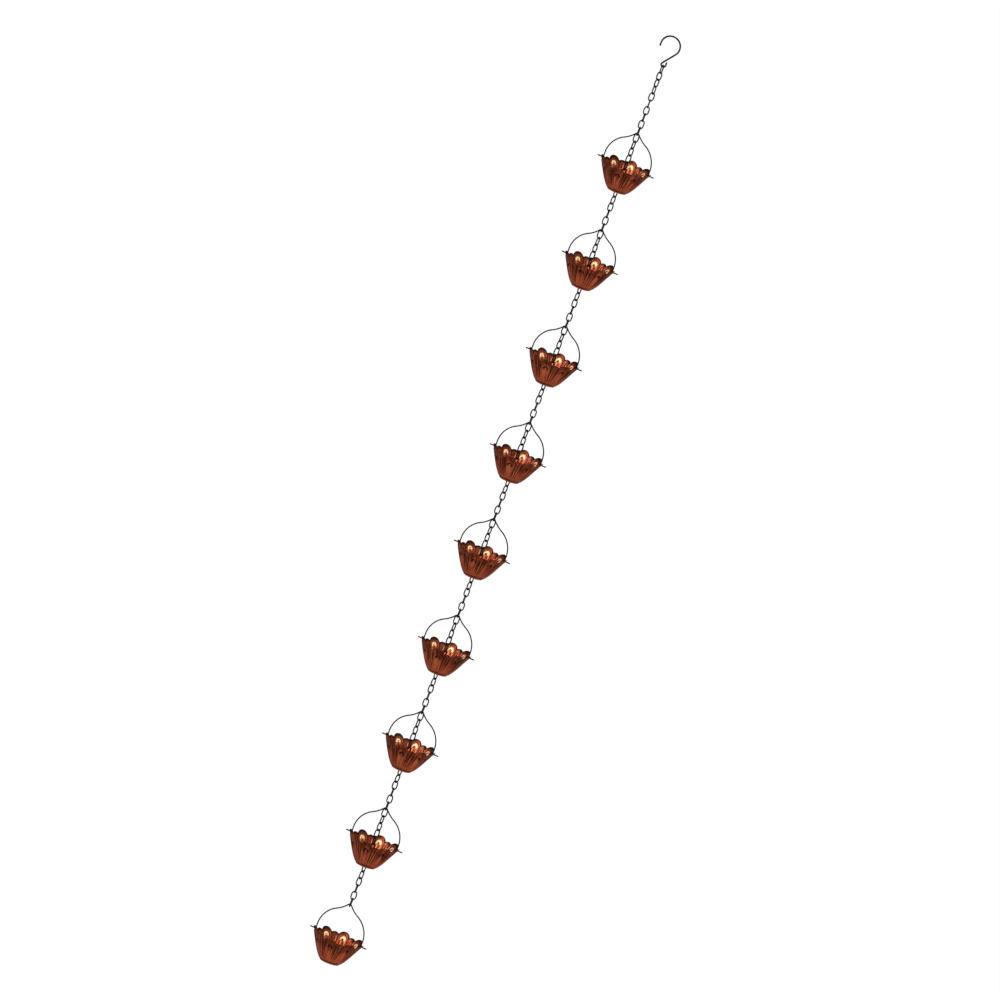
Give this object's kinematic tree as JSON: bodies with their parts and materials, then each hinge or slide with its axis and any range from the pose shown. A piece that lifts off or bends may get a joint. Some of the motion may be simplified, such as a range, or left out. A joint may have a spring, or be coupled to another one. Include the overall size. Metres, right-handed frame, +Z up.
{
  "type": "rain chain",
  "caption": "Hanging rain chain of flared petal cups on wire bails along a link chain, hung from an open wire hook to lead roof water down.",
  "frame": {"origin": "under the top of the hook's bow, where the hook bears on what it hangs from", "axes": "+Z up along the hanging chain, hook drawn in the XZ plane with its mouth towards -X, -Y towards the viewer"},
  "size_m": [0.1126, 0.099, 1.829],
  "materials": {
    "copper_sheet": "antiqued copper coat on stamped sheet steel",
    "black_wire": "satin black coat on steel wire"
  },
  "bodies": {
    "hook": {"hanging_hook": "black_wire"},
    "top_chain": {"top_chain": "black_wire"},
    "hanger_1": {"hanger_link_1": "black_wire"},
    "drop_1": {"bail_1": "black_wire", "chain_run_1": "black_wire"},
    "cup_1": {"rain_cup_1": "copper_sheet"},
    "hanger_2": {"hanger_link_2": "black_wire"},
    "drop_2": {"bail_2": "black_wire", "chain_run_2": "black_wire"},
    "cup_2": {"rain_cup_2": "copper_sheet"},
    "hanger_3": {"hanger_link_3": "black_wire"},
    "drop_3": {"bail_3": "black_wire", "chain_run_3": "black_wire"},
    "cup_3": {"rain_cup_3": "copper_sheet"},
    "hanger_4": {"hanger_link_4": "black_wire"},
    "drop_4": {"bail_4": "black_wire", "chain_run_4": "black_wire"},
    "cup_4": {"rain_cup_4": "copper_sheet"},
    "hanger_5": {"hanger_link_5": "black_wire"},
    "drop_5": {"bail_5": "black_wire", "chain_run_5": "black_wire"},
    "cup_5": {"rain_cup_5": "copper_sheet"},
    "hanger_6": {"hanger_link_6": "black_wire"},
    "drop_6": {"bail_6": "black_wire", "chain_run_6": "black_wire"},
    "cup_6": {"rain_cup_6": "copper_sheet"},
    "hanger_7": {"hanger_link_7": "black_wire"},
    "drop_7": {"bail_7": "black_wire", "chain_run_7": "black_wire"},
    "cup_7": {"rain_cup_7": "copper_sheet"},
    "hanger_8": {"hanger_link_8": "black_wire"},
    "drop_8": {"bail_8": "black_wire", "chain_run_8": "black_wire"},
    "cup_8": {"rain_cup_8": "copper_sheet"},
    "hanger_9": {"hanger_link_9": "black_wire"},
    "drop_9": {"bail_9": "black_wire"},
    "cup_9": {"rain_cup_9": "copper_sheet"}
  },
  "joints": [
    {"name": "hook_swing", "type": "hinge", "parent": "hook", "child": "top_chain", "pos_m": [0, 0, -0.0575], "axis": [1, 0, 0], "range_deg": [-40, 40]},
    {"name": "swing_1", "type": "hinge", "parent": "top_chain", "child": "hanger_1", "pos_m": [0, 0, -0.1795], "axis": [1, 0, 0], "range_deg": [-45, 45]},
    {"name": "sway_1", "type": "hinge", "parent": "hanger_1", "child": "drop_1", "pos_m": [0, 0, -0.1931], "axis": [0, 1, 0], "range_deg": [-45, 45]},
    {"name": "tilt_1", "type": "hinge", "parent": "drop_1", "child": "cup_1", "pos_m": [0.0002, 0, -0.25421], "axis": [0.9976, -0.0698, 0], "range_deg": [-3, 3]},
    {"name": "swing_2", "type": "hinge", "parent": "drop_1", "child": "hanger_2", "pos_m": [0, 0, -0.3699], "axis": [-1, 0, 0], "range_deg": [-45, 45]},
    {"name": "sway_2", "type": "hinge", "parent": "hanger_2", "child": "drop_2", "pos_m": [0, 0, -0.3835], "axis": [0, -1, 0], "range_deg": [-45, 45]},
    {"name": "tilt_2", "type": "hinge", "parent": "drop_2", "child": "cup_2", "pos_m": [0.0002, 0, -0.4446], "axis": [0.9976, -0.0698, 0], "range_deg": [-3, 3]},
    {"name": "swing_3", "type": "hinge", "parent": "drop_2", "child": "hanger_3", "pos_m": [0, 0, -0.5603], "axis": [1, 0, 0], "range_deg": [-45, 45]},
    {"name": "sway_3", "type": "hinge", "parent": "hanger_3", "child": "drop_3", "pos_m": [0, 0, -0.5739], "axis": [0, 1, 0], "range_deg": [-45, 45]},
    {"name": "tilt_3", "type": "hinge", "parent": "drop_3", "child": "cup_3", "pos_m": [0.0002, 0, -0.63501], "axis": [0.9976, -0.0698, 0], "range_deg": [-3, 3]},
    {"name": "swing_4", "type": "hinge", "parent": "drop_3", "child": "hanger_4", "pos_m": [0, 0, -0.7507], "axis": [-1, 0, 0], "range_deg": [-45, 45]},
    {"name": "sway_4", "type": "hinge", "parent": "hanger_4", "child": "drop_4", "pos_m": [0, 0, -0.7643], "axis": [0, -1, 0], "range_deg": [-45, 45]},
    {"name": "tilt_4", "type": "hinge", "parent": "drop_4", "child": "cup_4", "pos_m": [0.0002, 0, -0.82541], "axis": [0.9976, -0.0698, 0], "range_deg": [-3, 3]},
    {"name": "swing_5", "type": "hinge", "parent": "drop_4", "child": "hanger_5", "pos_m": [0, 0, -0.9411], "axis": [1, 0, 0], "range_deg": [-45, 45]},
    {"name": "sway_5", "type": "hinge", "parent": "hanger_5", "child": "drop_5", "pos_m": [0, 0, -0.9547], "axis": [0, 1, 0], "range_deg": [-45, 45]},
    {"name": "tilt_5", "type": "hinge", "parent": "drop_5", "child": "cup_5", "pos_m": [0.0002, 0, -1.01581], "axis": [0.9976, -0.0698, 0], "range_deg": [-3, 3]},
    {"name": "swing_6", "type": "hinge", "parent": "drop_5", "child": "hanger_6", "pos_m": [0, 0, -1.1315], "axis": [-1, 0, 0], "range_deg": [-45, 45]},
    {"name": "sway_6", "type": "hinge", "parent": "hanger_6", "child": "drop_6", "pos_m": [0, 0, -1.1451], "axis": [0, -1, 0], "range_deg": [-45, 45]},
    {"name": "tilt_6", "type": "hinge", "parent": "drop_6", "child": "cup_6", "pos_m": [0.0002, 0, -1.2062], "axis": [0.9976, -0.0698, 0], "range_deg": [-3, 3]},
    {"name": "swing_7", "type": "hinge", "parent": "drop_6", "child": "hanger_7", "pos_m": [0, 0, -1.3219], "axis": [1, 0, 0], "range_deg": [-45, 45]},
    {"name": "sway_7", "type": "hinge", "parent": "hanger_7", "child": "drop_7", "pos_m": [0, 0, -1.3355], "axis": [0, 1, 0], "range_deg": [-45, 45]},
    {"name": "tilt_7", "type": "hinge", "parent": "drop_7", "child": "cup_7", "pos_m": [0.0002, 0, -1.39661], "axis": [0.9976, -0.0698, 0], "range_deg": [-3, 3]},
    {"name": "swing_8", "type": "hinge", "parent": "drop_7", "child": "hanger_8", "pos_m": [0, 0, -1.5123], "axis": [-1, 0, 0], "range_deg": [-45, 45]},
    {"name": "sway_8", "type": "hinge", "parent": "hanger_8", "child": "drop_8", "pos_m": [0, 0, -1.5259], "axis": [0, -1, 0], "range_deg": [-45, 45]},
    {"name": "tilt_8", "type": "hinge", "parent": "drop_8", "child": "cup_8", "pos_m": [0.0002, 0, -1.587], "axis": [0.9976, -0.0698, 0], "range_deg": [-3, 3]},
    {"name": "swing_9", "type": "hinge", "parent": "drop_8", "child": "hanger_9", "pos_m": [0, 0, -1.7027], "axis": [1, 0, 0], "range_deg": [-45, 45]},
    {"name": "sway_9", "type": "hinge", "parent": "hanger_9", "child": "drop_9", "pos_m": [0, 0, -1.7163], "axis": [0, 1, 0], "range_deg": [-45, 45]},
    {"name": "tilt_9", "type": "hinge", "parent": "drop_9", "child": "cup_9", "pos_m": [0.0002, 0, -1.7774], "axis": [0.9976, -0.0698, 0], "range_deg": [-60, 60]}
  ]
}
